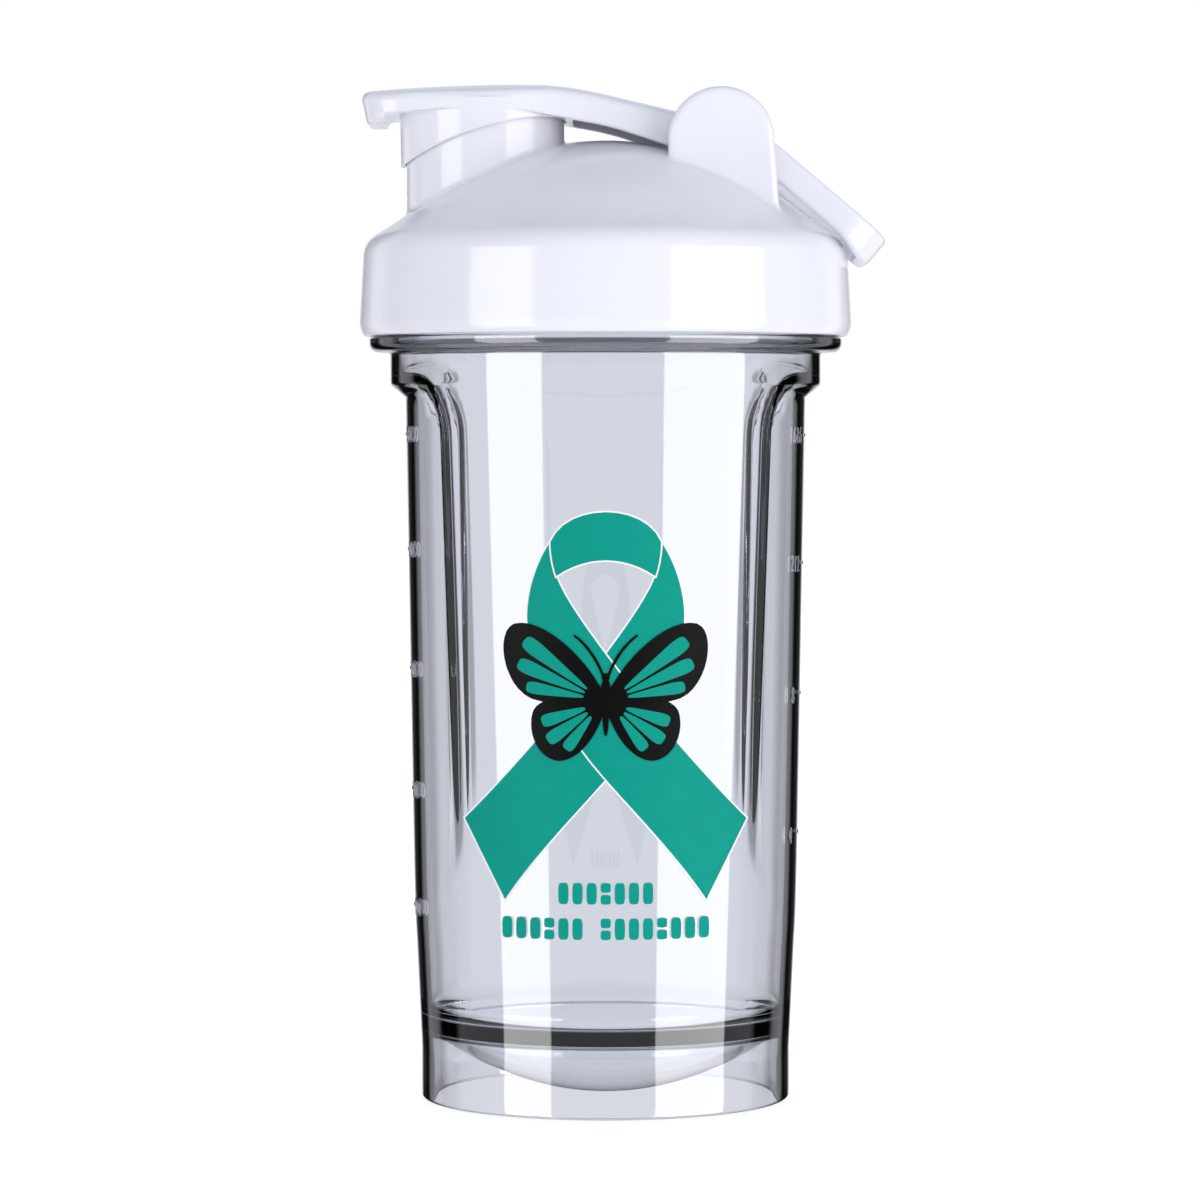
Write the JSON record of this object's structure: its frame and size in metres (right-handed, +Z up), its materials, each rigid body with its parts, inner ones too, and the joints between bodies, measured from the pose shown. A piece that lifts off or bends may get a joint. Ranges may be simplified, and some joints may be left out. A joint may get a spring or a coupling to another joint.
{
  "type": "protein shaker bottle",
  "caption": "Clear tapered shaker cup with a white screw lid, an offset drinking spout under a hinged flip cap, and a swinging carry loop.",
  "frame": {"origin": "centre of the ring that the cup stands on, in the plane of that ring", "axes": "+Z up along the cup's axis; +X from the spout towards the hinge and the carry loop; +Y completes the frame, along the hinge axis"},
  "size_m": [0.1042, 0.0982, 0.202],
  "materials": {
    "clear_cup": "clear, glossy, moulded",
    "white_plastic": "glossy white, moulded",
    "seal_rubber": "soft translucent silicone",
    "pin_steel": "drawn wire"
  },
  "bodies": {
    "cup": {"cup": "clear_cup"},
    "lift": {"lid_seal": "seal_rubber"},
    "lid": {"lid": "white_plastic", "hinge_pin": "pin_steel"},
    "cap": {"flip_cap": "white_plastic", "spout_seal": "seal_rubber"},
    "loop": {"carry_loop": "white_plastic"}
  },
  "joints": [
    {"name": "lid_lift", "type": "slide", "parent": "cup", "child": "lift", "axis": [0, 0, 1], "range_m": [0, 0.012]},
    {"name": "lid_turn", "type": "hinge", "parent": "lift", "child": "lid", "pos_m": [0, 0, 0.16], "axis": [0, 0, 1], "range_deg": [0, 720]},
    {"name": "cap_flip", "type": "hinge", "parent": "lid", "child": "cap", "pos_m": [0.0226, 0, 0.1902], "axis": [0, 1, 0], "range_deg": [0, 150]},
    {"name": "loop_swing", "type": "hinge", "parent": "lid", "child": "loop", "pos_m": [0.0226, 0, 0.1902], "axis": [0, -1, 0], "range_deg": [0, 188]}
  ],
  "couplings": [
    {"joint": "lid_lift", "follows": "lid_turn", "m_per_rad": 0.00095493}
  ]
}
